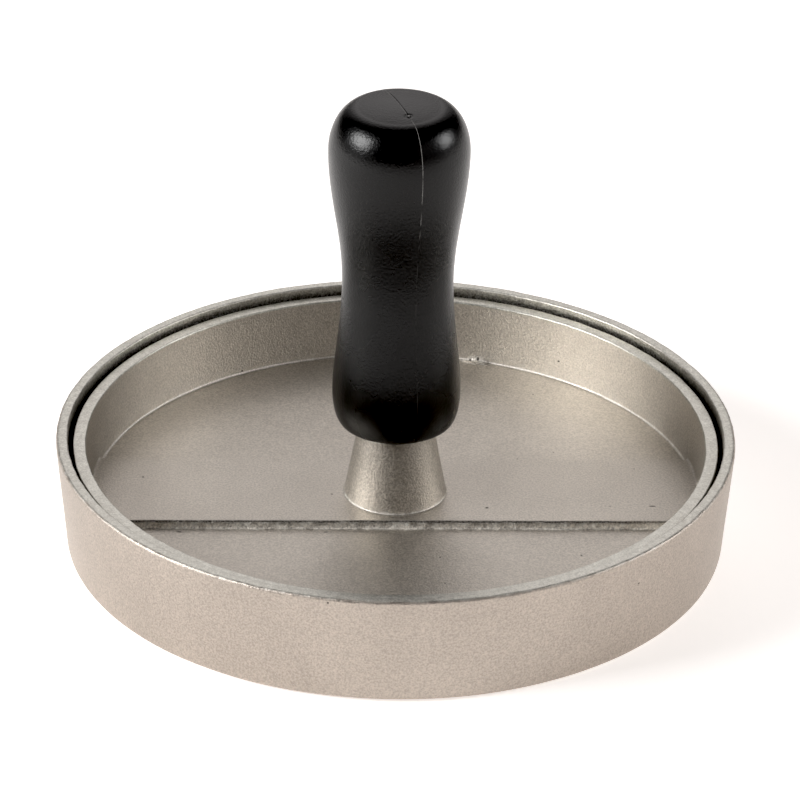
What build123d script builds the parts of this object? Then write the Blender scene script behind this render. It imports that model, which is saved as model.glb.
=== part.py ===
"""Round hand press for minced-meat patties, in millimetres.

A shallow cast mould stands on the table. A cast cup-shaped plate drops into it and flattens the
meat, and a moulded handle screws onto a stud in the plate's central boss.
+Z is up. The origin is the centre of the mould's underside.
"""

from build123d import *
from math import asin, degrees
import os

# Mould
mould_radius = 62.0  # outside, at the top
mould_height = 21.0
mould_wall = 2.2  # at the top
mould_floor = 3.5
mould_outer_draft = 1.8  # the outside is this much smaller at the bottom
mould_inner_draft = 0.5
mould_foot_round = 1.2
mould_inner_round = 1.2
mould_lip_break = 0.35

# Press plate
plate_gap = 0.9  # all round, between the plate's rim and the mould's wall
rim_drop = 1.6  # the plate's rim lies this far below the mould's lip
plate_wall = 2.4  # at the rim
plate_floor = 3.9
plate_outer_draft = 0.6
plate_inner_draft = 0.5
plate_heel_round = 1.6
plate_inner_round = 0.8
plate_rim_break = 0.25
strip_width = 24.0  # raised band across the plate, under the boss
strip_height = 1.2
strip_edge_slope = 0.45  # each long edge is this much wider at its foot

# Boss that carries the handle
boss_foot_radius = 9.4
boss_top_radius = 6.9
boss_height = 13.4  # above the raised band
boss_foot_round = 0.6
boss_top_break = 0.3

# Handle fixing: a stud with a 6 mm thread, a spring washer and a moulded-in insert
thread_radius = 3.0
thread_clearance = 0.05  # radial, in the boss and in the insert
stud_depth = 12.0  # of the stud in the boss
stud_grip = 11.0  # of the stud in the insert
stud_end_gap = 1.0
stud_chamfer = 0.6
washer_clearance = 0.25
washer_band = 2.5
washer_thickness = 1.6
washer_split = 0.9
washer_split_angle = 20.0
insert_wall = 1.8
insert_end_room = 2.0  # bore past the end of the stud
insert_groove_width = 2.5
insert_groove_depth = 0.5

# Handle, with heights measured from its bottom face
handle_length = 62.8
handle_foot_radius = 9.9
handle_swell_radius = 11.65
handle_swell_height = 6.0
handle_taper_radius = 10.8
handle_taper_height = 16.6
handle_waist_radius = 10.12
handle_waist_height = 31.5
handle_head_radius = 12.65
handle_head_depth = 9.0  # of the widest point of the head below the top
handle_crown_radius = 7.3
handle_crown_rise = 0.6

# Derived sizes
mould_bore = mould_radius - mould_wall
plate_radius = mould_bore - plate_gap
plate_bottom_z = mould_floor
plate_top_z = mould_height - rim_drop
plate_floor_z = plate_bottom_z + plate_floor
strip_z = plate_floor_z + strip_height
boss_top_z = strip_z + boss_height
handle_z = boss_top_z + washer_thickness
threaded_bore = thread_radius + thread_clearance
insert_radius = threaded_bore + insert_wall
insert_length = stud_grip + insert_end_room


def turned(corners):
    """Solid of revolution about Z from (radius, height, corner rounding) triples."""
    outline = make_face(Polyline(*[(r, z) for r, z, _ in corners], close=True))
    for r, z, rounding in corners:
        if rounding > 0:
            corner = outline.vertices().sort_by_distance((r, z))[0]
            outline = fillet(corner, rounding)
    return revolve(Plane.XZ * outline, Axis.Z)


def upright_cylinder(radius, bottom, top):
    """Solid cylinder on the Z axis between two heights."""
    return Pos(0, 0, bottom) * Cylinder(radius, top - bottom, align=(Align.CENTER, Align.CENTER, Align.MIN))


def make_base_mould():
    """Shallow round tray whose wall leans outwards a little, for release from the casting sand."""
    return turned(
        [
            (0, 0, 0),
            (mould_radius - mould_outer_draft, 0, mould_foot_round),
            (mould_radius, mould_height, mould_lip_break),
            (mould_bore, mould_height, mould_lip_break),
            (mould_bore - mould_inner_draft, mould_floor, mould_inner_round),
            (0, mould_floor, 0),
        ]
    )


def make_press_plate():
    """Cup with a flat underside, a raised band across its floor and a tapped conical boss."""
    inner_foot = plate_radius - plate_wall - plate_inner_draft
    cup = turned(
        [
            (0, plate_bottom_z, 0),
            (plate_radius - plate_outer_draft, plate_bottom_z, plate_heel_round),
            (plate_radius, plate_top_z, plate_rim_break),
            (plate_radius - plate_wall, plate_top_z, plate_rim_break),
            (inner_foot, plate_floor_z, plate_inner_round),
            (0, plate_floor_z, 0),
        ]
    )
    half_strip = strip_width / 2
    band = Polyline(
        (half_strip + strip_edge_slope, plate_floor_z),
        (half_strip, strip_z),
        (-half_strip, strip_z),
        (-half_strip - strip_edge_slope, plate_floor_z),
        (-half_strip, plate_bottom_z + plate_floor / 2),
        (half_strip, plate_bottom_z + plate_floor / 2),
        close=True,
    )
    strip = extrude(Plane.YZ * make_face(band), plate_radius, both=True)
    strip &= upright_cylinder(inner_foot + plate_wall / 3, plate_bottom_z, plate_top_z)
    apron = boss_foot_radius + 2 * boss_foot_round
    boss = turned(
        [
            (0, plate_floor_z, 0),
            (apron, plate_floor_z, 0),
            (apron, strip_z, 0),
            (boss_foot_radius, strip_z, boss_foot_round),
            (boss_top_radius, boss_top_z, boss_top_break),
            (0, boss_top_z, 0),
        ]
    )
    tapped_hole = upright_cylinder(
        threaded_bore,
        boss_top_z - stud_depth - stud_end_gap,
        boss_top_z + stud_end_gap,
    )
    return cup + strip + boss - tapped_hole


def make_threaded_stud():
    """Headless stud, its thread drawn as a plain cylinder of the thread's outer size."""
    bottom = boss_top_z - stud_depth
    top = handle_z + stud_grip
    return turned(
        [
            (0, bottom, 0),
            (thread_radius - stud_chamfer, bottom, 0),
            (thread_radius, bottom + stud_chamfer, 0),
            (thread_radius, top - stud_chamfer, 0),
            (thread_radius - stud_chamfer, top, 0),
            (0, top, 0),
        ]
    )


def make_spring_washer():
    """Split washer, pressed flat, with its slanted cut on the +X side."""
    inner = thread_radius + washer_clearance
    outer = inner + washer_band
    ring = upright_cylinder(outer, boss_top_z, handle_z) - upright_cylinder(inner, boss_top_z, handle_z)
    cut = Box(2 * washer_band, washer_split, 4 * washer_thickness)
    middle_z = (boss_top_z + handle_z) / 2
    return ring - Pos(inner + washer_band / 2, 0, middle_z) * Rot(washer_split_angle, 0, 0) * cut


def make_insert_body():
    """Outside of the insert as a solid, with the groove that the plastic grips."""
    groove_low = handle_z + (insert_length - insert_groove_width) / 2
    groove_high = groove_low + insert_groove_width
    groove_radius = insert_radius - insert_groove_depth
    return turned(
        [
            (0, handle_z, 0),
            (insert_radius, handle_z, 0),
            (insert_radius, groove_low, 0),
            (groove_radius, groove_low, 0),
            (groove_radius, groove_high, 0),
            (insert_radius, groove_high, 0),
            (insert_radius, handle_z + insert_length, 0),
            (0, handle_z + insert_length, 0),
        ]
    )


def make_handle_insert():
    """Threaded insert, its thread drawn as a plain bore."""
    return make_insert_body() - upright_cylinder(threaded_bore, handle_z, handle_z + insert_length)


def make_handle_grip():
    """Moulded grip: a swelling near the foot, a slim waist, a wide head and a low crown."""
    head_height = handle_length - handle_head_depth
    crown_height = handle_length - handle_crown_rise
    crown_arc_radius = (handle_crown_radius**2 + handle_crown_rise**2) / (2 * handle_crown_rise)
    crown_angle = degrees(asin(handle_crown_radius / crown_arc_radius))
    crown = CenterArc(
        (0, handle_length - crown_arc_radius),
        crown_arc_radius,
        90 - crown_angle,
        crown_angle,
    )
    foot = EllipticalCenterArc(
        (handle_foot_radius, handle_swell_height),
        handle_swell_radius - handle_foot_radius,
        handle_swell_height,
        start_angle=270,
        arc_size=90,
    )
    flank = Spline(
        (handle_swell_radius, handle_swell_height),
        (handle_taper_radius, handle_taper_height),
        (handle_waist_radius, handle_waist_height),
        (handle_head_radius, head_height),
        tangents=[(0, 1), (0, 1)],
    )
    shoulder = EllipticalCenterArc(
        (handle_crown_radius, head_height),
        handle_head_radius - handle_crown_radius,
        crown_height - head_height,
        start_angle=0,
        arc_size=90,
    )
    base = Polyline((0, handle_length), (0, 0), (handle_foot_radius, 0))
    outline = make_face([base, foot, flank, shoulder, crown])
    grip = Pos(0, 0, handle_z) * revolve(Plane.XZ * outline, Axis.Z)
    return grip - make_insert_body()


pieces = {
    "base_mould": make_base_mould,
    "press_plate": make_press_plate,
    "threaded_stud": make_threaded_stud,
    "spring_washer": make_spring_washer,
    "handle_insert": make_handle_insert,
    "handle_grip": make_handle_grip,
}

os.makedirs("parts", exist_ok=True)
for name, make in pieces.items():
    export_step(make(), f"parts/{name}.step")
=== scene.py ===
"""Looks of a round hand press for minced-meat patties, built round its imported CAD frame.

Every piece is a surface worked out with numpy, in millimetres, and put into a mesh in metres.
"""

import math
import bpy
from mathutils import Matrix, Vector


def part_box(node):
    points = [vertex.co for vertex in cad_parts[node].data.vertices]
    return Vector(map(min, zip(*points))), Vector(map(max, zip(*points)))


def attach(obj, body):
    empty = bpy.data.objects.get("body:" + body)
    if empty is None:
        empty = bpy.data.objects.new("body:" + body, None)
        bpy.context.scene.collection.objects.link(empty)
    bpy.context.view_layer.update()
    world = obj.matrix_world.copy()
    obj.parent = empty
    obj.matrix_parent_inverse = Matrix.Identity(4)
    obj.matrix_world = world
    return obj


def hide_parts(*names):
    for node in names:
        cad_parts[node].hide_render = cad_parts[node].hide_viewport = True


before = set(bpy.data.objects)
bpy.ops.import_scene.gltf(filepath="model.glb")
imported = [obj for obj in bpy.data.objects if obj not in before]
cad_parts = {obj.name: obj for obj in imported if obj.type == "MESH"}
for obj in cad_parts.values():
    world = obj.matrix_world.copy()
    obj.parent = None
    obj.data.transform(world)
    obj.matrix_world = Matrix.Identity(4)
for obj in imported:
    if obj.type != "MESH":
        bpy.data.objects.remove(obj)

from types import SimpleNamespace

import bpy
import numpy as np
from bpy.props import FloatProperty, FloatVectorProperty, PointerProperty
from mathutils import Matrix, Vector

bl_info = {
    "name": "Patty Press",
    "version": (1, 0, 0),
    "blender": (4, 5, 0),
    "location": "View3D > Sidebar > Press",
    "description": "Builds the pieces of a round hand press for patties",
    "category": "Add Mesh",
}

MM = 0.001
TURN = 2 * math.pi

# Sizes in millimetres and counts of rows and columns that no setting holds
MOULD_INNER_ROUND = 1.2
PLATE_OUTER_DRAFT, PLATE_HEEL_ROUND, RIM_ROUND = 0.6, 1.6, 0.25
BOSS_ROUND, BORE_CHAMFER = 0.35, 0.4
APRON = 1.5  # width of the sheet that joins the boss to the strip
SCAR_ANGLE = math.radians(73)  # direction of the small casting scar under the plate's wall
GATE_PLACE = 4.75  # of the gate mark along the crown's seam
WASHER_ROUND, WASHER_SLANT = 0.18, math.radians(20)
INSERT_ROUND, KNURLS, KNURL_DEPTH, INNER_THREAD_DEPTH = 0.25, 36, 0.13, 0.35
MOULD_COLUMNS, FLOOR_ROWS, FLOOR_COLUMNS = 620, 112, 261
CROWN_ROWS, CROWN_COLUMNS = 84, 90
THREAD_STEPS = 14


def node_box(name):
    """Lowest and highest corner of a CAD node in millimetres."""
    low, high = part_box(name)
    return np.array(low) / MM, np.array(high) / MM


MOULD_HIGH = node_box("base_mould")[1]
PLATE_LOW, PLATE_HIGH = node_box("press_plate")
GRIP_LOW, GRIP_HIGH = node_box("handle_grip")
INSERT_LOW, INSERT_HIGH = node_box("handle_insert")
STUD_LOW, STUD_HIGH = node_box("threaded_stud")
WASHER_LOW, WASHER_HIGH = node_box("spring_washer")
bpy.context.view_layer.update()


# Settings that a user would change


def length(name, description, millimetres):
    """A length property whose default is given in millimetres."""
    limits = {"default": millimetres * MM, "min": 0, "precision": 5}
    return FloatProperty(name=name, description=description, unit="LENGTH", **limits)


def angle(name, description, degrees):
    """An angle property whose default is given in degrees."""
    return FloatProperty(name=name, description=description, default=math.radians(degrees), subtype="ANGLE")


def colour(name, description, default):
    """A linear colour property."""
    limits = {"min": 0, "max": 1, "size": 3}
    return FloatVectorProperty(name=name, description=description, default=default, subtype="COLOR", **limits)


def share(name, description, default):
    """A number from 0 to 1."""
    return FloatProperty(name=name, description=description, default=default, min=0, max=1, subtype="FACTOR")


class MouldSettings(bpy.types.PropertyGroup):
    """Sizes and finish of the mould."""

    wall: length("Wall", "Thickness of the wall at the lip", 2.2)
    floor: length("Floor", "Thickness of the floor", 3.5)
    outer_draft: length("Outer draft", "How much smaller the outside is at the bottom", 1.8)
    inner_draft: length("Inner draft", "How much smaller the bore is at the bottom", 0.5)
    foot_round: length("Foot round", "Rounding of the outer bottom edge", 1.2)
    lip_round: length("Lip round", "Rounding of the lip's inner edge", 0.35)
    lip_outer_round: length("Outer lip round", "Rounding of the lip's outer edge", 0.6)
    tone: colour("Metal", "Colour of the cast skin", (0.465, 0.41, 0.36))
    grain: share("Grain", "Strength of the sand grain", 0.5)


class PlateSettings(bpy.types.PropertyGroup):
    """Sizes and finish of the press plate."""

    wall: length("Wall", "Thickness of the wall at the rim", 2.4)
    rim_z: length("Rim height", "Height of the rim above the table", 19.4)
    floor: length("Floor", "Thickness of the floor", 3.9)
    draft: length("Draft", "How much the wall leans, inside", 0.5)
    strip_width: length("Strip width", "Width of the raised strip across the floor", 24.0)
    strip_height: length("Strip height", "Height of the raised strip", 1.2)
    corner_round: length("Corner round", "Rounding between floor and wall", 0.45)
    boss_foot: length("Boss foot", "Radius of the boss where it meets the strip", 9.4)
    boss_top: length("Boss top", "Radius of the boss at the top", 6.9)
    tapped: length("Tapped hole", "Radius of the tapped hole", 3.05)
    tapped_floor_z: length("Tapped hole bottom", "Height of the bottom of the tapped hole", 9.0)
    tone: colour("Metal", "Colour of the cast skin", (0.56, 0.522, 0.47))
    grain: share("Grain", "Strength of the sand grain", 0.42)


class HandleSettings(bpy.types.PropertyGroup):
    """Sizes and finish of the moulded grip."""

    foot: length("Foot", "Radius of the bottom face", 9.9)
    swell: length("Swell", "Radius of the swelling near the foot", 11.65)
    swell_z: length("Swell height", "Height of the swelling above the bottom face", 6.0)
    taper: length("Taper", "Radius above the swelling", 10.8)
    taper_z: length("Taper height", "Height of that radius above the bottom face", 16.6)
    waist: length("Waist", "Radius of the waist", 10.12)
    waist_z: length("Waist height", "Height of the waist above the bottom face", 31.5)
    head_drop: length("Head drop", "Depth of the head's widest point below the top", 9.0)
    crown: length("Crown", "Radius of the crown", 7.3)
    crown_rise: length("Crown rise", "Rise of the crown at its middle", 0.6)
    seam_angle: angle("Seam angle", "Direction of the parting seam about the axis", -72)
    tone: colour("Plastic", "Colour of the plastic", (0.0012, 0.0012, 0.0013))


class FixingSettings(bpy.types.PropertyGroup):
    """Sizes and finish of the stud, the spring washer and the insert."""

    pitch: length("Pitch", "Pitch of the thread", 1.0)
    thread_depth: length("Thread depth", "Depth of the thread", 0.56)
    washer_bore: length("Washer bore", "Inner radius of the spring washer", 3.25)
    washer_split: length("Washer split", "Width of the spring washer's cut", 0.9)
    insert_bore: length("Insert bore", "Smallest radius inside the insert", 3.05)
    groove_width: length("Groove width", "Width of the insert's groove", 2.5)
    groove_depth: length("Groove depth", "Depth of the insert's groove", 0.5)
    zinc: colour("Zinc", "Colour of the plated stud", (0.60, 0.60, 0.58))
    spring: colour("Spring steel", "Colour of the spring washer", (0.42, 0.42, 0.43))
    brass: colour("Brass", "Colour of the insert", (0.78, 0.62, 0.33))


class StageSettings(bpy.types.PropertyGroup):
    """Floor, lights and camera."""

    distance: length("Distance", "From the camera to the point it looks at", 887.33)
    lens: FloatProperty(name="Lens", description="Focal length in millimetres", default=219.5, min=1)
    elevation: angle("Elevation", "Height of the camera above the horizon", 28.005)
    azimuth: angle("Azimuth", "Turn of the camera about the upright axis", -1.3)
    roll: angle("Roll", "Turn of the camera about its own line of sight", 0.764)
    aim_x: length("Aim across", "Point looked at, to the right of the axis", 0.685)
    aim_z: length("Aim height", "Height of the point looked at", 27.332)
    paper: colour("Paper", "Colour of the floor", (0.86, 0.86, 0.86))


# Numbers and surfaces


def metres_to_mm(settings):
    """The lengths of a settings group in millimetres."""
    numbers = [p.identifier for p in settings.bl_rna.properties if p.type == "FLOAT" and not p.is_array]
    return SimpleNamespace(**{name: getattr(settings, name) / MM for name in numbers})


def smooth_step(t):
    """3t² - 2t³ with t held between 0 and 1."""
    t = np.clip(t, 0, 1)
    return t * t * (3 - 2 * t)


def bump(distance, width):
    """Bell curve: e to the power of minus the square of distance over width."""
    return np.exp(-((distance / width) ** 2))


def ripple(points, size, seed):
    """Smooth noise from -1 to 1: random numbers on a cubic lattice, joined by the smooth step."""
    lattice = np.random.default_rng(seed).uniform(-1, 1, (32, 32, 32))
    low = np.floor(points / size).astype(int)
    t = smooth_step(points / size - low)
    total = np.zeros(points.shape[:-1])
    for corner in np.ndindex(2, 2, 2):
        weight = np.prod(np.where(corner, t, 1 - t), axis=-1)
        x, y, z = np.moveaxis((low + corner) % 32, -1, 0)
        total += weight * lattice[x, y, z]
    return total


def rounded_outline(corners, spacing, arc_steps=7):
    """Outline in (radius, height) through corners (radius, height, rounding), divided by the spacing.

    A rounded corner becomes the arc that touches both sides, rounding / tan(half angle) from it.
    """
    corners = np.array(corners, float)
    points = [corners[:1, :2]]
    for before, here, after in zip(corners[:-2], corners[1:-1], corners[2:]):
        radius = here[2]
        if radius == 0:
            points.append(here[None, :2])
            continue
        sides = before[:2] - here[:2], after[:2] - here[:2]
        back, ahead = (side / np.linalg.norm(side) for side in sides)
        half = 0.5 * math.acos(np.clip(back @ ahead, -1, 1))
        middle = (back + ahead) / np.linalg.norm(back + ahead)
        centre = here[:2] + middle * radius / math.sin(half)
        start = here[:2] + back * radius / math.tan(half) - centre
        end = here[:2] + ahead * radius / math.tan(half) - centre
        sweep = math.pi - 2 * half
        t = np.linspace(0, 1, arc_steps + 1)[:, None]
        points.append(centre + (start * np.sin((1 - t) * sweep) + end * np.sin(t * sweep)) / math.sin(sweep))
    points.append(corners[-1:, :2])
    return divided(np.concatenate(points), spacing)


def divided(points, spacing):
    """The same line with its runs divided into equal steps of at most spacing."""
    runs = np.linalg.norm(np.diff(points, axis=0), axis=1)
    steps = np.maximum(1, np.ceil(runs / spacing)).astype(int)
    start = np.repeat(np.arange(len(runs)), steps)
    first = np.repeat(np.cumsum(steps) - steps, steps)
    t = ((np.arange(len(start)) - first) / steps[start])[:, None]
    return np.concatenate([points[start] * (1 - t) + points[start + 1] * t, points[-1:]])


def places(x, y, z):
    """Points from their three coordinates, numbers or arrays."""
    return np.stack(np.broadcast_arrays(x, y, z), axis=-1)


def spun(radius, height, angles):
    """Surface of revolution: (r cos a, r sin a, z), with r and z given by row or by row and angle."""
    return places(radius * np.cos(angles), radius * np.sin(angles), height)


def spun_outline(outline, angles):
    """Surface of revolution of an outline of (radius, height) rows."""
    return spun(outline[:, :1], outline[:, 1:], angles)


def quads(rows, columns, round_about):
    """Corner numbers of a grid's quads; round_about joins the last column to the first."""
    across = np.arange(columns if round_about else columns - 1)
    i, j = np.meshgrid(np.arange(rows - 1), across, indexing="ij")
    k = (j + 1) % columns
    return np.stack([i * columns + j, i * columns + k, (i + 1) * columns + k, (i + 1) * columns + j], axis=-1)


def joined(sheets):
    """One closed shell from sheets of (points by row and column, round_about, kept quads or None).

    Points in the same place become one; quads that lose a corner become triangles, or go.
    """
    points, faces, start = [], [], 0
    for grid, round_about, kept in sheets:
        rows, columns = grid.shape[:2]
        made = quads(rows, columns, round_about)
        made = made.reshape(-1, 4) if kept is None else made[kept]
        points.append(grid.reshape(-1, 3))
        faces.append(made + start)
        start += rows * columns
    points = np.concatenate(points)
    faces = np.concatenate(faces)
    rounded = np.round(points * 1e5).astype(np.int64)
    _, first, same = np.unique(rounded, axis=0, return_index=True, return_inverse=True)
    faces = same.reshape(-1)[faces]
    equal = faces == np.roll(faces, -1, axis=1)
    doubles = equal.sum(axis=1)
    flat = faces[doubles == 1]
    turn = (np.argmax(equal[doubles == 1], axis=1)[:, None] + np.array([1, 2, 3])) % 4
    triangles = np.take_along_axis(flat, turn, axis=1)
    return points[first], faces[doubles == 0], triangles


def warped(points, reach, size, seed):
    """Points pushed about by three noises, one along each axis, as castings are never quite true."""
    push = np.stack([ripple(points, size, seed + k) for k in range(3)], axis=-1)
    return points + reach * push


def make_piece(name, shell, node, body, material, masks=None):
    """A smooth piece from a shell in millimetres, held inside the box of the CAD node it stands for.

    The material reads the masks, values from 0 to 1 for each point, as attributes.
    """
    points, four, three = shell
    mesh = bpy.data.meshes.new(name)
    mesh.from_pydata(np.clip(points, *node_box(node)) * MM, [], four.tolist() + three.tolist())
    mesh.polygons.foreach_set("use_smooth", np.ones(len(mesh.polygons), bool))
    for mask, values in (masks or {}).items():
        layer = mesh.attributes.new(mask, "FLOAT", "POINT")
        layer.data.foreach_set("value", np.clip(values, 0, 1).astype(np.float32))
    mesh.update()
    if mesh.validate():
        raise RuntimeError(f"{name} has faces that Blender had to mend")
    mesh.materials.append(material)
    made = bpy.data.objects.new(name, mesh)
    bpy.context.scene.collection.objects.link(made)
    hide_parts(node)
    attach(made, body)


# Materials


def add(tree, kind, inputs=None, **settings):
    """A new shader node; each input is a number, a colour or another node's output."""
    made = tree.nodes.new(kind)
    for key, value in settings.items():
        setattr(made, key, value)
    for key, value in (inputs or {}).items():
        if isinstance(value, bpy.types.NodeSocket):
            tree.links.new(value, made.inputs[key])
        else:
            made.inputs[key].default_value = value
    return made


def maths(tree, operation, first, second):
    """Arithmetic on two values."""
    return add(tree, "ShaderNodeMath", {0: first, 1: second}, operation=operation).outputs[0]


def vector_maths(tree, operation, *vectors):
    """Arithmetic on vectors; a length and a dot product are single values."""
    made = add(tree, "ShaderNodeVectorMath", dict(enumerate(vectors)), operation=operation)
    return made.outputs["Value" if operation in ("LENGTH", "DOT_PRODUCT") else "Vector"]


class Finish:
    """A material under construction, with short names for the nodes that the finishes share."""

    def __init__(self, name, metallic):
        self.material = bpy.data.materials.new(name)
        self.material.use_nodes = True
        self.tree = self.material.node_tree
        self.tree.nodes.clear()
        self.shader = add(self.tree, "ShaderNodeBsdfPrincipled", {"Metallic": metallic})
        out = add(self.tree, "ShaderNodeOutputMaterial")
        self.tree.links.new(self.shader.outputs["BSDF"], out.inputs["Surface"])
        self.place = add(self.tree, "ShaderNodeTexCoord").outputs["Object"]

    def noise(self, millimetres, detail=2.0, roughness=0.5):
        """Noise from 0 to 1 whose largest features are about that wide."""
        scale = 1 / (millimetres * MM)
        inputs = {"Vector": self.place, "Scale": scale, "Detail": detail, "Roughness": roughness}
        return add(self.tree, "ShaderNodeTexNoise", inputs).outputs["Fac"]

    def mask(self, name):
        """One of the piece's own point attributes."""
        return add(self.tree, "ShaderNodeAttribute", attribute_name=name).outputs["Fac"]

    def spread(self, value, from_low, from_high, to_low, to_high, smooth=True):
        """Value moved from one range to another and held there."""
        kind = "SMOOTHSTEP" if smooth else "LINEAR"
        inputs = {"Value": value, "From Min": from_low, "From Max": from_high}
        inputs |= {"To Min": to_low, "To Max": to_high}
        return add(self.tree, "ShaderNodeMapRange", inputs, interpolation_type=kind).outputs["Result"]

    def times(self, first, second):
        """Product of two values."""
        return maths(self.tree, "MULTIPLY", first, second)

    def sum(self, operation, first, second):
        """Sum, difference or larger one of two values."""
        return maths(self.tree, operation, first, second)

    def blend(self, factor, first, second, kind="MIX"):
        """Colour between two colours."""
        made = add(self.tree, "ShaderNodeMix", data_type="RGBA", blend_type=kind)
        for socket, value in ((made.inputs[0], factor), (made.inputs[6], first), (made.inputs[7], second)):
            if isinstance(value, bpy.types.NodeSocket):
                self.tree.links.new(value, socket)
            else:
                socket.default_value = (*value, 1) if np.ndim(value) else value
        return made.outputs[2]

    def specks(self, per_metre, low, high):
        """Scattered round marks: 1 inside low cell widths of a random point, 0 beyond high."""
        inputs = {"Vector": self.place, "Scale": per_metre, "Randomness": 1.0}
        distance = add(self.tree, "ShaderNodeTexVoronoi", inputs).outputs["Distance"]
        return self.spread(distance, low, high, 1.0, 0.0)

    def spot(self, place, radius, stretch):
        """A soft mark round a place in millimetres, within a radius that is drawn out by the stretch."""
        shrink = Vector(1 / (radius * MM * s) for s in stretch)
        moved = vector_maths(self.tree, "SUBTRACT", self.place, Vector(place) * MM)
        far = vector_maths(self.tree, "LENGTH", vector_maths(self.tree, "MULTIPLY", moved, shrink))
        return self.spread(far, 0.55, 1.0, 1.0, 0.0)

    def relief(self, height, millimetres, normal=None):
        """Bump of that depth for a height from 0 to 1, on top of an earlier one."""
        inputs = {"Height": height, "Distance": millimetres * MM, "Strength": 1.0}
        if normal is not None:
            inputs["Normal"] = normal
        return add(self.tree, "ShaderNodeBump", inputs).outputs["Normal"]

    def use(self, **sockets):
        """Links values to the shader's inputs."""
        for key, value in sockets.items():
            self.tree.links.new(value, self.shader.inputs[key.replace("_", " ")])
        return self.material


RUBBED_DARK, RUBBED_LIGHT = (0.50, 0.488, 0.44), (0.63, 0.62, 0.565)
# Pale colour painted as highlight along the castings' edges, fillets, riser and lumps
PAINTED_HIGHLIGHT_TONE = (0.84, 0.82, 0.77)
# The last colour on the next line is near-black painted shade for the mould's gap and the strip's front
# notch; the first two darken pits and crumb holes as painted shade inside them
PIT, CRUMB_HOLE, PAINTED_SHADE_TONE = (0.05, 0.045, 0.04), (0.06, 0.055, 0.05), (0.015, 0.013, 0.011)
# The grey on the right of the next line marks seam flash and the gate mark, and is also painted as highlight
# beside the crown's seam groove
DUST, SEAM_FLASH_AND_SHEEN = (0.25, 0.24, 0.23), (0.30, 0.29, 0.28)


def tinted(tone, amount):
    """A colour made lighter or darker."""
    return tuple(min(1.0, c * amount) for c in tone)


def cast_metal(name, tone, grain, marks=()):
    """Sand-cast aluminium: fine grain, pinholes and cloudy tone, with finishes, painted highlights and
    painted shade where the masks say.

    Each of the marks is the place, radius and stretch of one larger pit.
    """
    skin = Finish(name, 1.0)
    turned, painted_highlight, painted_shade, coarse = (skin.mask(key) for key in ("turned", "painted_highlight", "painted_shade", "coarse"))
    sand = skin.spread(skin.noise(0.36, 2.0, 0.6), 0.33, 0.67, 0.0, 1.0, smooth=False)
    crumbs = skin.spread(skin.noise(1.1, 2.0, 0.5), 0.3, 0.7, 0.0, 1.0, smooth=False)
    clouds = skin.spread(skin.noise(14.0, 4.0, 0.55), 0.3, 0.7, 0.0, 1.0)
    rough_cast = skin.sum("SUBTRACT", 1.0, turned)
    pits = skin.times(skin.specks(150, 0.02, 0.036), rough_cast)
    for place, radius, stretch in marks:
        pits = skin.sum("MAXIMUM", pits, skin.spot(place, radius, stretch))
    base = skin.blend(clouds, tinted(tone, 0.96), tinted(tone, 1.04))
    contrast = skin.spread(coarse, 0.0, 1.0, 0.4, 1.1, smooth=False)
    grains = skin.times(skin.sum("SUBTRACT", sand, 0.5), contrast)
    rubbed = skin.blend(crumbs, RUBBED_DARK, RUBBED_LIGHT)
    base = skin.blend(turned, base, rubbed)
    base = skin.blend(1.0, base, skin.sum("ADD", grains, 1.0), "MULTIPLY")
    # Painted glints: bright specks laid over the painted edge and crease highlight
    painted_glints = skin.spread(skin.specks(1000, 0.12, 0.4), 0.0, 1.0, 0.45, 1.25, smooth=False)
    base = skin.blend(skin.times(painted_highlight, painted_glints), base, PAINTED_HIGHLIGHT_TONE)
    # Pits and scratches are dented by the bump below and painted near-black, a painted shade inside them
    base = skin.blend(skin.times(pits, 0.85), base, PIT)
    # Dark dots on the coarse parts are painted shade of small holes among the crumbs; they are not dented
    dots = skin.times(skin.specks(1500, 0.15, 0.4), skin.times(coarse, 0.6))
    base = skin.blend(dots, base, CRUMB_HOLE)
    # Painted shade: near-black laid in the gap between mould and plate and in the strip's front notch, broken
    # up by noise
    broken = skin.spread(skin.noise(0.4, 1.0, 0.5), 0.35, 0.6, 0.55, 1.0)
    base = skin.blend(skin.times(painted_shade, broken), base, PAINTED_SHADE_TONE)
    rough = skin.spread(sand, 0.0, 1.0, 0.42, 0.52, smooth=False)
    rough = skin.sum("SUBTRACT", rough, skin.times(turned, 0.08))
    rough = skin.sum("ADD", rough, skin.times(skin.sum("ADD", painted_highlight, coarse), 0.2))
    calm = skin.spread(turned, 0.0, 1.0, grain, 0.35 * grain, smooth=False)
    calm = skin.times(calm, skin.spread(coarse, 0.0, 1.0, 1.0, 1.8, smooth=False))
    normal = skin.relief(skin.times(sand, calm), 0.08)
    normal = skin.relief(skin.times(crumbs, calm), 0.035, normal)
    normal = skin.relief(skin.sum("SUBTRACT", 1.0, pits), 0.12, normal)
    return skin.use(Base_Color=base, Roughness=rough, Normal=normal)


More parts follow.
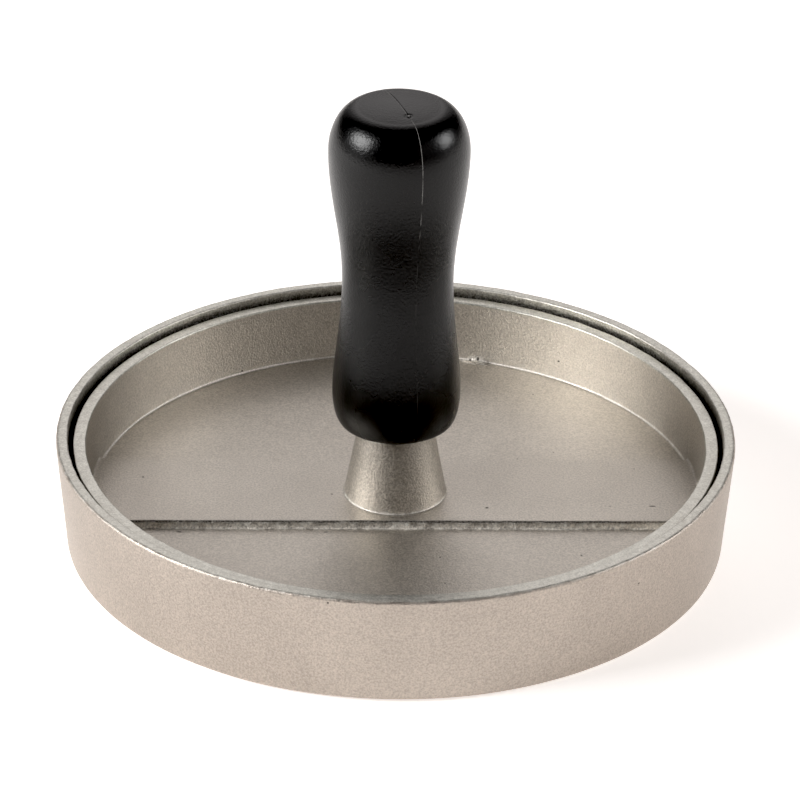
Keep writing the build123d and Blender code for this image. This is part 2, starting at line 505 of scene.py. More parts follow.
def black_plastic(tone):
    """Moulded thermoset: deep black with orange peel, lighter flash along the seam and at the gate mark, a
    painted highlight beside the crown's seam groove, and dust specks.
    """
    skin = Finish("Black moulded plastic", 0.0)
    skin.shader.inputs["Specular IOR Level"].default_value = 0.32
    flash_and_sheen = skin.mask("flash_and_sheen")
    peel = skin.noise(0.5, 1.0, 0.5)
    grain = skin.noise(0.25, 2.0, 0.6)
    swirl = skin.noise(9.0, 3.0, 0.5)
    dust = skin.specks(170, 0.008, 0.018)
    base = skin.blend(swirl, tinted(tone, 0.8), tinted(tone, 1.3))
    base = skin.blend(skin.times(dust, 0.6), base, DUST)
    base = skin.blend(flash_and_sheen, base, SEAM_FLASH_AND_SHEEN)
    rough = skin.spread(swirl, 0.2, 0.8, 0.26, 0.29)
    rough = skin.sum("ADD", rough, skin.times(flash_and_sheen, 0.15))
    normal = skin.relief(skin.spread(peel, 0.3, 0.7, 0.0, 1.0), 0.012)
    normal = skin.relief(grain, 0.008, normal)
    return skin.use(Base_Color=base, Roughness=rough, Normal=normal)


def bright_metal(name, tone, rough_low, rough_high, streak):
    """Turned or plated metal: a cloudy plated skin with fine streaks of the cutting tool."""
    skin = Finish(name, 1.0)
    clouds = skin.noise(3.0, 3.0, 0.6)
    fine = skin.noise(streak, 2.0, 0.6)
    base = skin.blend(clouds, tinted(tone, 0.82), tinted(tone, 1.08))
    base = skin.blend(skin.spread(fine, 0.62, 0.75, 0.0, 0.5), base, tinted(tone, 0.5))
    rough = skin.spread(clouds, 0.25, 0.75, rough_low, rough_high)
    normal = skin.relief(fine, 0.015)
    return skin.use(Base_Color=base, Roughness=rough, Normal=normal)


# Shapes shared by pieces


def chord_levels(radius, even, dense):
    """Angles from -90° to 90° whose sines times radius are the levels of the rows across a disc.

    They are even, but give way to the extra, dense levels.
    """
    spread_out = np.linspace(-math.pi / 2, math.pi / 2, even)
    extra = np.arcsin(np.asarray(dense) / radius)
    nearest = np.abs(spread_out[:, None] - extra[None, :]).min(axis=1)
    near = nearest < 0.35 * math.pi / even
    near[[0, -1]] = False
    return np.sort(np.concatenate([spread_out[~near], extra]))


def loop_angles(levels):
    """The directions of a chord disc's row ends, once round: right ends upwards, left ends downwards."""
    return np.concatenate([levels, math.pi - levels[-2:0:-1]])


def chord_disc(radius, levels, columns):
    """Flat grid that fills a disc: row b lies at y = R sin b and runs from -R cos b to R cos b."""
    across = np.linspace(-1, 1, columns)
    x = across[None, :] * radius * np.cos(levels)[:, None]
    y = radius * np.sin(levels)[:, None] + 0 * x
    return x, y


# Mould


def mould_shell(size):
    """Lathe from the underside's middle over the lip to the floor's, uneven, with small nicks in the lip.

    The flat middle has half the rows.
    """
    radius, height = MOULD_HIGH[0], MOULD_HIGH[2]
    bore = radius - size.wall
    corners = [
        (0, 0, 0),
        (radius - size.outer_draft, 0, size.foot_round),
        (radius, height, size.lip_outer_round),
        (bore, height, size.lip_round),
        (bore - size.inner_draft, size.floor, MOULD_INNER_ROUND),
        (0, size.floor, 0),
    ]
    outline = rounded_outline(corners, 0.9)
    every_other = np.arange(len(outline)) % 2 == 0
    outline = outline[every_other | (outline[:, 0] > bore - 3) | (outline[:, 0] == 0)]
    angles = np.linspace(0, TURN, MOULD_COLUMNS, endpoint=False)
    grid = spun_outline(outline, angles)
    points, four, three = joined([(grid, True, None)])
    r = np.hypot(points[:, 0], points[:, 1])
    lip = smooth_step((points[:, 2] - height + 1.0) / 0.8)
    points = warped(points, 0.035, 7.0, 11)
    nick = 0.06 * lip * ripple(points, 1.3, 21)
    points[:, :2] *= (1 + nick / np.maximum(r, 1))[:, None]
    points[:, 2] -= 0.05 * lip * smooth_step(1.6 * np.abs(ripple(points, 2.1, 31)) - 0.5)
    z = points[:, 2]
    # Painted shade on the mould's inner wall in the gap round the plate: darker below the wavy line of the
    # plate's rim, weaker lower down
    gap_top = height - 1.15 + 0.12 * ripple(points, 0.9, 42)
    lip_and_gap_shade = 0.5 * smooth_step((height - 0.3 - z) / 0.15) + 0.5 * smooth_step((gap_top - z) / 0.35)
    gap = lip_and_gap_shade * (0.35 + 0.65 * smooth_step((z - 12) / 6)) * (r > bore - 1.0) * (r < bore + 0.2)
    edge = np.minimum(np.abs(r - radius + 0.3) / 0.3, np.abs(r - bore - 0.2) / 0.2)
    top = smooth_step((z - height + 0.45) / 0.3)
    bare = smooth_step((r - bore + 1.0) / 0.4) * (r < bore + 0.2) * smooth_step((z - size.floor - 3) / 3)
    masks = {
        "turned": np.maximum(smooth_step((z - height + 0.16) / 0.12), 0.7 * bare),
        # Painted highlight along the lip's inner and outer edges, broken up by noise
        "painted_highlight": 0.6 * top * bump(edge, 1.0) * smooth_step(0.55 + 1.5 * ripple(points, 0.9, 41)),
        # Painted shade in the gap between mould and plate, faded out near the mould's floor
        "painted_shade": 0.82 * gap * smooth_step((z - size.floor) / 3),
        "coarse": 0.25 * bare * (z < height - 0.3),
    }
    return (points, four, three), masks


class PRESS_OT_mould(bpy.types.Operator):
    """Adds the cast mould that forms the patty"""

    bl_idname = "patty_press.mould"
    bl_label = "Mould"

    def execute(self, context):
        settings = context.scene.press_mould
        shell, masks = mould_shell(metres_to_mm(settings))
        metal = cast_metal("Cast mould", settings.tone, settings.grain)
        make_piece("mould", shell, "base_mould", "mould", metal, masks)
        return {"FINISHED"}


# Press plate


def edge_rows(half):
    """Levels of the extra rows across the strip's two edges, close together at the front notch and riser."""
    front = -half + np.linspace(0.8, -0.7, 31)
    back = half + np.linspace(-0.2, 0.6, 9)
    return np.concatenate([front, back])


def strip_edge(x, y, size):
    """Distance outside the strip's edge, which wavers a little along its length."""
    along = places(x, 0, 0)
    wavers = 0.05 * ripple(along, 1.7, 51) + 0.035 * ripple(along, 0.7, 52)
    return np.abs(y) - size.strip_width / 2 + wavers


def well_floor(x, y, size):
    """Height of the floor inside the plate: the strip falls to the low floor over a curved riser.

    Along the front edge a ragged notch with a fine raised lip runs behind the crumbly riser.
    """
    flat = places(x, y, 0)
    along = places(x, 0, 0)
    low = PLATE_LOW[2] + size.floor
    outside = strip_edge(x, y, size)
    front = y < 0
    riser = 1 - (1 - np.clip((outside + 0.05) / 0.55, 0, 1)) ** 2
    depth = 0.55 * smooth_step(0.95 + 0.8 * ripple(along, 1.1, 53))
    notch = np.where(front, depth * bump(outside + 0.26, 0.15), 0)
    lip = np.where(front, 0.03 * bump(outside + 0.62, 0.14), 0)
    on_riser = bump(outside - 0.18, 0.26) * np.where(front, 1.0, 0.2)
    crumbs = 0.16 * on_riser * (ripple(flat, 0.8, 54) + 0.6 * ripple(flat, 0.45, 55))
    waves = 0.012 * ripple(flat, 6.0, 56)
    return low + size.strip_height * (1 - riser) - notch + lip + crumbs + waves


def plate_shell(size):
    """The plate as one closed skin of three sheets that share their edges.

    A lathe runs from the underside over the rim to the floor. The floor is a disc of straight rows,
    so that the strip's edges run along them. From a hole in it the third climbs the boss and goes
    down its bore.
    """
    radius, rim = PLATE_HIGH[0], size.rim_z
    inner = radius - size.wall
    corner = size.corner_round
    foot = inner - size.draft
    floor_radius = foot - corner
    levels = chord_levels(floor_radius, FLOOR_ROWS, edge_rows(size.strip_width / 2))
    angles = loop_angles(levels)
    corners = [
        (0, PLATE_LOW[2], 0),
        (radius - PLATE_OUTER_DRAFT, PLATE_LOW[2], PLATE_HEEL_ROUND),
        (radius, rim, RIM_ROUND),
        (inner, rim, RIM_ROUND),
        (inner - 0.03 * size.draft, rim - 0.4, 0),
    ]
    outside = rounded_outline(corners, 1.0)
    floor_edge = spun(floor_radius, 0, angles)
    wobble = 0.11 * ripple(floor_edge, 2.6, 61) + 0.05 * ripple(floor_edge, 0.9, 62)
    meet = well_floor(floor_edge[:, 0], floor_edge[:, 1], size)
    t = np.linspace(0, 1, 16)[1:, None]
    top_r, top_z = outside[-1]
    wall_r = top_r + (foot - top_r) * t + wobble * t**4 * 0.5
    wall_z = top_z + (meet + corner - top_z) * t
    turn = np.linspace(0, math.pi / 2, 8)[1:, None]
    round_r = foot + 0.5 * wobble - (corner + 0.5 * wobble) * (1 - np.cos(turn))
    round_z = meet + corner * (1 - np.sin(turn))
    wall, heel = spun(wall_r, wall_z, angles), spun(round_r, round_z, angles)
    lathe = np.concatenate([spun_outline(outside, angles), wall, heel])
    x, y = chord_disc(floor_radius, levels, FLOOR_COLUMNS)
    disc = places(x, y, well_floor(x, y, size))
    lathe[-1] = np.concatenate([disc[:, -1], disc[-2:0:-1, 0]])
    reach = size.boss_foot + APRON
    low_row, high_row = np.searchsorted(y[:, 0], [-reach, reach])
    left = int(FLOOR_COLUMNS / 2 * (1 - reach / floor_radius))
    right = FLOOR_COLUMNS - 1 - left
    cells = np.ones((len(levels) - 1, FLOOR_COLUMNS - 1), bool)
    cells[low_row:high_row, left:right] = False
    front, back = disc[low_row, left:right], disc[high_row, right:left:-1]
    edge = np.concatenate([front, disc[low_row:high_row, right], back, disc[high_row:low_row:-1, left]])
    around = np.arctan2(edge[:, 1], edge[:, 0])
    boss_top = PLATE_HIGH[2]
    strip_z = PLATE_LOW[2] + size.floor + size.strip_height
    corners = [
        (size.boss_foot + 0.9, strip_z, 0),
        (size.boss_foot, strip_z, BOSS_ROUND),
        (size.boss_top, boss_top, BOSS_ROUND),
        (size.tapped + BORE_CHAMFER, boss_top, 0),
        (size.tapped, boss_top - BORE_CHAMFER, 0),
        (size.tapped, size.tapped_floor_z, 0),
        (0, size.tapped_floor_z, 0),
    ]
    boss = rounded_outline(corners, 0.45)
    t = np.linspace(0, 1, 6)[:, None, None]
    circle = spun(boss[0, 0], 0, around[None, :])
    apron = edge[None] * (1 - t) + circle * t
    apron[1:, :, 2] = well_floor(apron[1:, :, 0], apron[1:, :, 1], size)
    climb = spun_outline(boss[1:], around)
    sheets = [(lathe, True, None), (disc, False, cells), (np.concatenate([apron, climb]), True, None)]
    return joined(sheets)


def plate_masks(points, size):
    """Where the plate is turned smooth, bright with painted highlights along its edges, creases and riser,
    dark with painted shade in the strip's front notch, or coarse.
    """
    x, y, z = points.T
    r = np.hypot(x, y)
    rim, inner = size.rim_z, PLATE_HIGH[0] - size.wall
    foot = inner - size.draft
    flat = places(x, y, 0)
    floor_z = well_floor(x, y, size)
    # Painted highlights: a bright line in the fillet between floor and wall and round the boss's foot, broken
    # up by noise
    sheen_breaks = smooth_step(0.6 + 1.5 * ripple(points, 1.1, 71))
    inside = (z < rim - 1) & (z > PLATE_LOW[2] + size.floor - 1) & (r < foot + 0.6)
    corner = 0.7 * bump(r - foot + 0.18, 0.2) * inside
    boss_foot = 0.7 * bump(r - size.boss_foot + 0.02, 0.11) * (z < floor_z + 0.5) * (z > floor_z - 0.3)
    # Painted highlight along the rim's inner edge, broken up by noise
    rim_sheen_breaks = smooth_step(0.3 + 1.6 * ripple(points, 0.9, 74))
    rim_inner = 0.25 * bump(r - inner - 0.05, 0.13) * (z > rim - 0.35) * rim_sheen_breaks
    outside = strip_edge(x, y, size)
    on_front = inside & (y < 0) & (r < foot - 0.3) & (r > size.boss_foot + 0.9)
    # Painted glints near the top of the strip's front riser; painted highlight on the fine lip along the
    # strip's top edge, and painted light at the riser's foot that lifts the shade there
    spark = bump(outside - 0.08, 0.14) * smooth_step(2.6 * ripple(flat, 0.9, 72) + 0.1)
    foot_sheen_breaks = smooth_step(0.75 + ripple(flat, 0.9, 75))
    painted_edge_light = 0.3 * bump(outside + 0.62, 0.12) + 0.85 * bump(outside - 0.44, 0.26) * foot_sheen_breaks
    # Painted shade in the strip's front notch, broken up by noise
    notch = bump(outside + 0.27, 0.27) * smooth_step(1.1 + 0.9 * ripple(flat, 1.1, 73))
    flank = smooth_step((size.boss_foot + 0.3 - r) / 0.5) * (z > floor_z - 0.2)
    return {
        "turned": smooth_step((z - rim + 0.5) / 0.35) * (r > inner - 1),
        "painted_highlight": sheen_breaks * (corner + boss_foot) + rim_inner + on_front * (spark + painted_edge_light),
        "painted_shade": on_front * notch,
        "coarse": 0.08 * flank + 0.6 * on_front * bump(outside - 0.3, 0.4),
    }


def scarred(points, size):
    """The points with three small lumps in the corner under the wall, and the lumps' share in each."""
    x, y, z = points.T
    foot = PLATE_HIGH[0] - size.wall - size.draft
    along = np.arctan2(y, x) * foot - SCAR_ANGLE * foot
    r = np.hypot(x, y)
    near = bump(r - foot + 0.4, 0.6) * bump(z - PLATE_LOW[2] - size.floor - 0.2, 0.6)
    lumps = bump(along + 1.1, 0.45) + 1.3 * bump(along - 0.1, 0.4) + 0.8 * bump(along - 1.4, 0.5)
    out = places(-x / np.maximum(r, 1), -y / np.maximum(r, 1), 1)
    return points + 0.7 * (near * lumps)[:, None] * out, near * lumps


def plate_marks(size):
    """The larger pits and scratches: two in the scar, then those on the strip and the low floor."""
    floor_z = PLATE_LOW[2] + size.floor
    top = floor_z + size.strip_height
    round_pit, scratch = (1.0, 1.0, 1.0), (1.9, 0.6, 1.0)
    corner = PLATE_HIGH[0] - size.wall - size.draft - 0.25
    first, second = SCAR_ANGLE - 0.011, SCAR_ANGLE + 0.016
    return [
        ((corner * math.cos(first), corner * math.sin(first), top - 0.6), 0.34, (0.8, 1.0, 2.2)),
        ((corner * math.cos(second), corner * math.sin(second), top - 1.0), 0.28, (1.5, 1.0, 1.0)),
        ((16.7, -6.6, top), 0.34, round_pit),
        ((47.0, -5.9, top), 0.42, scratch),
        ((-12.8, -13.6, floor_z), 0.28, scratch),
        ((-39.3, -13.6, floor_z), 0.36, scratch),
        ((-11.6, -1.6, top), 0.26, round_pit),
        ((-46.4, 4.7, top), 0.25, round_pit),
    ]


class PRESS_OT_plate(bpy.types.Operator):
    """Adds the cast press plate with its strip and boss"""

    bl_idname = "patty_press.plate"
    bl_label = "Press plate"

    def execute(self, context):
        settings = context.scene.press_plate
        size = metres_to_mm(settings)
        points, four, three = plate_shell(size)
        masks = plate_masks(points, size)
        r = np.hypot(points[:, 0], points[:, 1])
        rim = smooth_step((points[:, 2] - size.rim_z + 1.0) / 0.8) * (r > size.boss_foot * 2)
        points = points + 0.05 * (rim * ripple(points, 1.2, 81))[:, None] * np.array([1.0, 1.0, 0.4])
        points = warped(points, 0.025, 7.0, 82)
        points, lumps = scarred(points, size)
        # The scar's lumps get painted highlight as well as a coarser skin
        masks["painted_highlight"] = np.clip(masks["painted_highlight"] + 0.8 * lumps, 0, 1)
        masks["coarse"] = masks["coarse"] + lumps
        shell = points, four, three
        metal = cast_metal("Cast plate", settings.tone, settings.grain, plate_marks(size))
        make_piece("press_plate_casting", shell, "press_plate", "press", metal, masks)
        return {"FINISHED"}


# Handle


def clamped_spline(heights, radii, at):
    """Cubic spline of radius over height with upright ends and an even second derivative."""
    heights, radii = np.asarray(heights, float), np.asarray(radii, float)
    h = np.diff(heights)
    rise = np.diff(radii) / h
    inner = len(h) - 1
    system = np.diag(2 * (h[:-1] + h[1:]))
    system += np.diag(h[2:], -1)[:inner, :inner] + np.diag(h[:-2], 1)[:inner, :inner]
    slopes = np.zeros(len(heights))
    slopes[1:-1] = np.linalg.solve(system, 3 * (rise[:-1] * h[1:] + rise[1:] * h[:-1]))
    k = np.clip(np.searchsorted(heights, at, side="right") - 1, 0, inner)
    t = (at - heights[k]) / h[k]
    a = (1 + 2 * t) * (1 - t) ** 2 * radii[k] + t * t * (3 - 2 * t) * radii[k + 1]
    b = t * (1 - t) ** 2 * slopes[k] - t * t * (1 - t) * slopes[k + 1]
    return a + h[k] * b


def grip_outline(size):
    """From the top of the insert's pocket, along the bottom and up to the crown's edge.

    The foot and the shoulder are quarters of ellipses, and the flank between them is a spline.
    """
    bottom, top = GRIP_LOW[2], GRIP_HIGH[2]
    head = GRIP_HIGH[0]
    head_z = top - size.head_drop
    swell_z = bottom + size.swell_z
    bush, bush_top = INSERT_HIGH[0], INSERT_HIGH[2]
    pocket = np.array([(0, bush_top), (bush, bush_top), (bush, bottom), (size.foot, bottom)])
    turn = np.linspace(0, math.pi / 2, 14)[1:]
    foot_r = size.foot + (size.swell - size.foot) * np.sin(turn)
    foot_z = swell_z - size.swell_z * np.cos(turn)
    flank_z = np.linspace(swell_z, head_z, 76)[1:-1]
    knots = [swell_z, bottom + size.taper_z, bottom + size.waist_z, head_z]
    flank_r = clamped_spline(knots, [size.swell, size.taper, size.waist, head], flank_z)
    turn = np.linspace(0, math.pi / 2, 26)
    rise = top - size.crown_rise - head_z
    shoulder_r = size.crown + (head - size.crown) * np.cos(turn)
    shoulder_z = head_z + rise * np.sin(turn)
    sides = [(foot_r, foot_z), (flank_r, flank_z), (shoulder_r, shoulder_z)]
    return np.concatenate([divided(pocket, 1.2), *(np.stack(side, axis=-1) for side in sides)])


def grip_shell(size):
    """Lathe for the side and a dome of straight rows for the crown, with close steps at the seam.

    The shape is made with the seam, a broken ridge and a step, along X and turned at the end.
    """
    crown, top = size.crown, GRIP_HIGH[2]
    near = np.array([0.035, 0.07, 0.11, 0.16, 0.22, 0.32, 0.5])
    levels = chord_levels(crown, CROWN_ROWS, np.concatenate([-near[::-1], [0], near]))
    side = spun_outline(grip_outline(size), loop_angles(levels))
    x, y = chord_disc(crown, levels, CROWN_COLUMNS)
    ball = (crown**2 + size.crown_rise ** 2) / (2 * size.crown_rise)
    dome = top - ball + np.sqrt(ball**2 - x**2 - y**2)
    points, four, three = joined([(side, True, None), (places(x, y, dome), False, None)])
    x, y, z = points.T
    r = np.hypot(x, y)
    shown = (z > GRIP_LOW[2] + 0.5) & ((r > INSERT_HIGH[0] + 1) | (z > INSERT_HIGH[2] + 5))
    upward = smooth_step((crown + 1.5 - r) / 4) * (z > GRIP_HIGH[2] - size.head_drop)
    line = places(x, 0, z)
    strength = seam_strength(line, z, x, upward)
    ridge = 0.06 * strength * bump(y, 0.07) - 0.05 * upward * (x < 4.2) * bump(y, 0.08)
    step = 0.035 * np.tanh(y / 0.06) * bump(y, 1.2) * smooth_step(0.6 + ripple(line, 4.0, 93))
    push = (ridge + step) * shown
    gate = np.hypot(x - GATE_PLACE, y)
    mark = upward * (0.16 * bump(gate, 0.22) - 0.12 * bump(gate - 0.55, 0.2))
    soft = 0.03 * ripple(points, 6.0, 94) + 0.008 * ripple(points, 1.6, 95)
    out = places(x, y, 0) / np.maximum(r, 1)[:, None]
    out *= (1 - upward)[:, None]
    out[:, 2] = upward
    pushed = points + out * (push + mark + soft * shown)[:, None]
    # Painted highlight along one side of the seam's groove across the crown
    crown_painted_highlight = 0.35 * upward * (x < 4.2) * bump(y + 0.13, 0.05)
    masks = {"flash_and_sheen": shown * (0.9 * strength * bump(y, 0.045) + crown_painted_highlight + 0.8 * upward * bump(gate, 0.2))}
    a = size.seam_angle
    turned = pushed @ np.array([[math.cos(a), math.sin(a), 0], [-math.sin(a), math.cos(a), 0], [0, 0, 1]])
    return (turned, four, three), masks


def seam_strength(line, z, x, upward):
    """How far the flash stands out along the seam: broken by noise, strong on the head, faint below."""
    high = smooth_step((z - GRIP_LOW[2] - 32) / 14)
    broken = smooth_step(0.45 + 1.6 * ripple(line, 2.3, 91) + 1.0 * ripple(line, 0.8, 92))
    front = np.where(x > 0, 1.0, 0.8)
    return front * broken * (0.12 + 0.88 * high) * (1 - 0.9 * upward)


class PRESS_OT_handle(bpy.types.Operator):
    """Adds the moulded grip with its parting seam"""

    bl_idname = "patty_press.handle"
    bl_label = "Handle"

    def execute(self, context):
        settings = context.scene.press_handle
        size = metres_to_mm(settings)
        size.seam_angle = settings.seam_angle
        shell, masks = grip_shell(size)
        plastic = black_plastic(settings.tone)
        make_piece("grip", shell, "handle_grip", "handle", plastic, masks)
        return {"FINISHED"}


# Stud, washer and insert


def thread_rise(turns):
    """Share of a thread's depth along its pitch: crest at whole turns, root between, straight flanks."""
    tooth = np.abs(2 * (turns % 1) - 1)
    return np.clip((tooth - 0.2) / 0.65, 0, 1)


def stud_shell(size):
    """Right-hand screw: each row keeps its place on the thread and climbs one pitch in a turn.

    Heights are held between the two ends, and the radius never passes the chamfer there.
    """
    pitch, steps = size.pitch, THREAD_STEPS
    low, high, crest = STUD_LOW[2], STUD_HIGH[2], STUD_HIGH[0] - 0.02
    root = crest - size.thread_depth
    turns = math.ceil((high - low) / pitch) + 1
    row = np.arange(-steps, turns * steps + 1)[:, None]
    angles = np.linspace(0, TURN, 73)[None, :]
    height = np.clip(low + pitch * (row / steps + angles / TURN), low, high)
    end = root - 0.05 + np.minimum(height - low, high - height)
    radius = np.minimum(root + (crest - root) * thread_rise(row / steps), end)
    grid = spun(radius, height, angles)
    caps = [spun(np.zeros((1, 1)), z, angles) for z in (low, high)]
    return joined([(np.concatenate([caps[0], grid, caps[1]]), False, None)])


def washer_shell(size):
    """A rounded rectangle carried once round, from one side of a slanted cut to the other, and closed."""
    inner, outer = size.washer_bore, WASHER_HIGH[1]
    low, high = WASHER_LOW[2], WASHER_HIGH[2]
    corners = [
        ((inner + outer) / 2, low, 0),
        (outer, low, WASHER_ROUND),
        (outer, high, WASHER_ROUND),
        (inner, high, WASHER_ROUND),
        (inner, low, WASHER_ROUND),
        ((inner + outer) / 2, low, 0),
    ]
    section = rounded_outline(corners, 0.4, 4)[:-1]
    middle = np.array([(inner + outer) / 2, (low + high) / 2])
    gap = (size.washer_split / 2) / middle[0]
    t = np.linspace(gap, TURN - gap, 150)[None, :]
    slant = math.tan(WASHER_SLANT) * (section[:, 1:] - middle[1]) / middle[0]
    side = spun(section[:, :1], section[:, 1:], t - slant)
    ends = spun(middle[0], middle[1], np.array([[gap, TURN - gap]]))
    ring = np.concatenate([side, side[:1]])
    first, last = (np.repeat(end, len(ring), axis=0) for end in (ends[:, :1], ends[:, 1:]))
    return joined([(np.concatenate([first, ring, last], axis=1), False, None)])


def insert_shell(size):
    """Knurled bush: a ring outline with a groove outside and a thread cut outwards into the bore."""
    outer, low, high = INSERT_HIGH[0], INSERT_LOW[2], INSERT_HIGH[2]
    bore, middle = size.insert_bore, (INSERT_LOW[2] + INSERT_HIGH[2]) / 2
    corners = [
        ((bore + outer) / 2, low, 0),
        (outer, low, INSERT_ROUND),
        (outer, high, INSERT_ROUND),
        (bore, high, 0),
        (bore, low, 0),
        ((bore + outer) / 2, low, 0),
    ]
    outline = rounded_outline(corners, 0.16, 4)
    angles = np.linspace(0, TURN, 145)[None, :]
    r, z = outline[:, :1], outline[:, 1:]
    in_groove = smooth_step((size.groove_width / 2 - np.abs(z - middle)) / 0.3)
    outside = smooth_step((r - outer + 0.3) / 0.2)
    tooth = 0.5 + 0.5 * np.cos(KNURLS * angles)
    cut = outside * (KNURL_DEPTH * (1 - tooth) * (1 - in_groove) + size.groove_depth * in_groove)
    inside = INNER_THREAD_DEPTH * smooth_step((bore + 0.2 - r) / 0.15)
    from_end = np.minimum(z - low, high - z)
    thread = inside * smooth_step(from_end / 0.5 + 0.2) * thread_rise((z - low) / size.pitch - angles / TURN)
    lead = inside * bump(from_end, 0.3)
    grid = spun(r - cut + np.maximum(thread, lead), z + 0 * angles, angles)
    grid[:, -1] = grid[:, 0]
    return joined([(grid, False, None)])


class PRESS_OT_fixings(bpy.types.Operator):
    """Adds the threaded stud, the spring washer and the handle's brass insert"""

    bl_idname = "patty_press.fixings"
    bl_label = "Stud, washer and insert"

    def execute(self, context):
        settings = context.scene.press_fixings
        size = metres_to_mm(settings)
        zinc = bright_metal("Zinc plated steel", settings.zinc, 0.22, 0.38, 0.3)
        spring = bright_metal("Spring steel", settings.spring, 0.3, 0.45, 0.5)
        brass = bright_metal("Machined brass", settings.brass, 0.2, 0.35, 0.25)
        make_piece("stud", stud_shell(size), "threaded_stud", "stud", zinc)
        make_piece("washer", washer_shell(size), "spring_washer", "washer", spring)
        make_piece("insert", insert_shell(size), "handle_insert", "handle", brass)
        return {"FINISHED"}


# Stage


def flat_square(name, half, height):
    """Level square sheet, in metres."""
    mesh = bpy.data.meshes.new(name)
    corners = [(-half, -half), (half, -half), (half, half), (-half, half)]
    mesh.from_pydata([(x, y, height) for x, y in corners], [], [(0, 1, 2, 3)])
    made = bpy.data.objects.new(name, mesh)
    bpy.context.scene.collection.objects.link(made)
    return made


def direction(azimuth, elevation):
    """Unit vector above the horizon by elevation: towards the front at azimuth 0, turning to the right."""
    level = math.cos(elevation)
    return Vector((math.sin(azimuth) * level, -math.cos(azimuth) * level, math.sin(elevation)))


def soft_box(name, azimuth, elevation, distance, width, height, radiance, aim):
    """Rectangular area light that faces the object; its power is radiance times pi times its area."""
    data = bpy.data.lights.new(name, "AREA")
    data.shape, data.size, data.size_y = "RECTANGLE", width, height
    data.energy = radiance * math.pi * width * height
    made = bpy.data.objects.new(name, data)
    away = direction(math.radians(azimuth), math.radians(elevation))
    made.location = aim + away * distance
    made.rotation_mode = "QUATERNION"
    made.rotation_quaternion = away.to_track_quat("Z", "Y")
    made.visible_camera = False
    bpy.context.scene.collection.objects.link(made)
    return made


def glow(tree, azimuth, elevation, strength):
    """Soft patch of light in the world: strength times a power of the cosine of the angle from its middle."""
    place = add(tree, "ShaderNodeTexCoord").outputs["Generated"]
    middle = direction(math.radians(azimuth), math.radians(elevation))
    ahead = maths(tree, "MAXIMUM", vector_maths(tree, "DOT_PRODUCT", place, middle), 0.0)
    return maths(tree, "MULTIPLY", maths(tree, "POWER", ahead, 14.0), strength)


def room(paper):
    """World: a dark room, pale behind and in front to the right; the camera sees paper all round."""
    world = bpy.data.worlds.new("Studio room")
    bpy.context.scene.world = world
    world.use_nodes = True
    tree = world.node_tree
    tree.nodes.clear()
    wall = maths(tree, "ADD", glow(tree, 180, 27, 1.02), glow(tree, 180, 50, 0.86))
    light = maths(tree, "ADD", wall, glow(tree, 45, 25, 0.5))
    seen = add(tree, "ShaderNodeLightPath").outputs["Is Camera Ray"]
    lit = add(tree, "ShaderNodeBackground", {"Color": (1.0, 0.96, 0.955, 1), "Strength": light})
    shown = add(tree, "ShaderNodeBackground", {"Color": (*paper, 1), "Strength": 1.0})
    mix = add(tree, "ShaderNodeMixShader", {0: seen, 1: lit.outputs[0], 2: shown.outputs[0]})
    out = add(tree, "ShaderNodeOutputWorld")
    tree.links.new(mix.outputs[0], out.inputs["Surface"])


def white_paper(tone):
    """Pale paper with faint fibre, which glows a little, as if lit from above."""
    paper = Finish("White paper", 0.0)
    fibre = paper.noise(2.0, 3.0, 0.6)
    base = paper.blend(fibre, tinted(tone, 0.985), tinted(tone, 1.015))
    paper.shader.inputs["Roughness"].default_value = 0.9
    paper.shader.inputs["Specular IOR Level"].default_value = 0.1
    paper.shader.inputs["Emission Color"].default_value = (1.0, 0.94, 0.90, 1)
    paper.shader.inputs["Emission Strength"].default_value = 0.62
    return paper.use(Base_Color=base)


def make_camera(settings, aim):
    """The camera, looking at the aim from the settings' distance and direction."""
    lens = bpy.data.cameras.new("Camera")
    lens.lens, lens.sensor_width = settings.lens, 36.0
    lens.clip_start, lens.clip_end = 0.01, 30.0
    camera = bpy.data.objects.new("Camera", lens)
    bpy.context.scene.collection.objects.link(camera)
    back = direction(settings.azimuth, settings.elevation)
    right = Vector((0, 0, 1)).cross(back).normalized()
    axes = Matrix((right, back.cross(right), back)).transposed()
    turned = Matrix.Rotation(settings.roll, 3, back) @ axes
    camera.matrix_world = Matrix.Translation(aim + back * settings.distance) @ turned.to_4x4()
    return camera


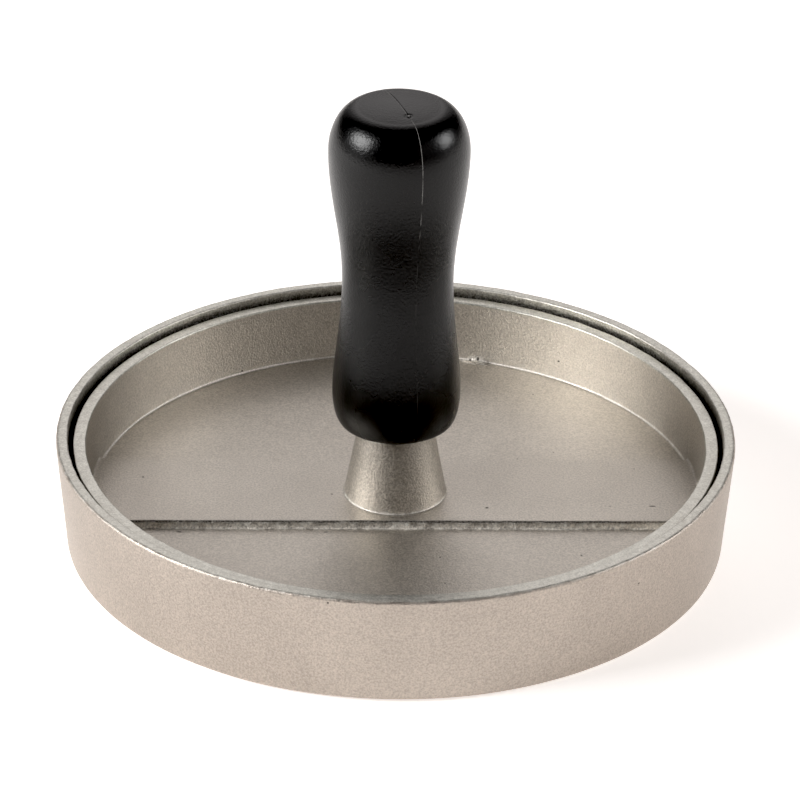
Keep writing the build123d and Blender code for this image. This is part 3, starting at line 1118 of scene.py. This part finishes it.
class PRESS_OT_stage(bpy.types.Operator):
    """Adds the pale floor, the soft lights and the camera"""

    bl_idname = "patty_press.stage"
    bl_label = "Stage"

    def execute(self, context):
        settings = context.scene.press_stage
        scene = context.scene
        floor = flat_square("paper_floor", 6.0, -0.0001)
        floor.data.materials.append(white_paper(settings.paper))
        aim = Vector((settings.aim_x, 0, settings.aim_z))
        soft_box("Left softbox", -77, 30, 0.9, 0.47, 0.38, 15.6, aim)
        soft_box("Right softbox", 90, 24, 0.9, 0.37, 0.31, 9.2, aim)
        room(settings.paper)
        scene.view_settings.view_transform = "Standard"
        scene.view_settings.use_curve_mapping = True
        scene.view_settings.curve_mapping.black_level = (0.01, 0.01, 0.01)
        scene.camera = make_camera(settings, aim)
        return {"FINISHED"}


class PRESS_PT_panel(bpy.types.Panel):
    """Lists the pieces of the press"""

    bl_idname = "PRESS_PT_panel"
    bl_label = "Patty press"
    bl_space_type = "VIEW_3D"
    bl_region_type = "UI"
    bl_category = "Press"

    def draw(self, context):
        for operator in OPERATORS:
            self.layout.operator(operator.bl_idname)


OPERATORS = (PRESS_OT_mould, PRESS_OT_plate, PRESS_OT_handle, PRESS_OT_fixings, PRESS_OT_stage)
SETTINGS = {
    "press_mould": MouldSettings,
    "press_plate": PlateSettings,
    "press_handle": HandleSettings,
    "press_fixings": FixingSettings,
    "press_stage": StageSettings,
}


def register():
    """Registers the settings, the operators and the panel."""
    for name, group in SETTINGS.items():
        bpy.utils.register_class(group)
        setattr(bpy.types.Scene, name, PointerProperty(type=group))
    for kind in (*OPERATORS, PRESS_PT_panel):
        bpy.utils.register_class(kind)


def unregister():
    """Takes away what register added."""
    for kind in (PRESS_PT_panel, *reversed(OPERATORS)):
        bpy.utils.unregister_class(kind)
    for name, group in reversed(SETTINGS.items()):
        delattr(bpy.types.Scene, name)
        bpy.utils.unregister_class(group)


def main():
    """Builds every piece and the stage."""
    register()
    for part in ("mould", "plate", "handle", "fixings", "stage"):
        getattr(bpy.ops.patty_press, part)()


if __name__ == "__main__":
    main()
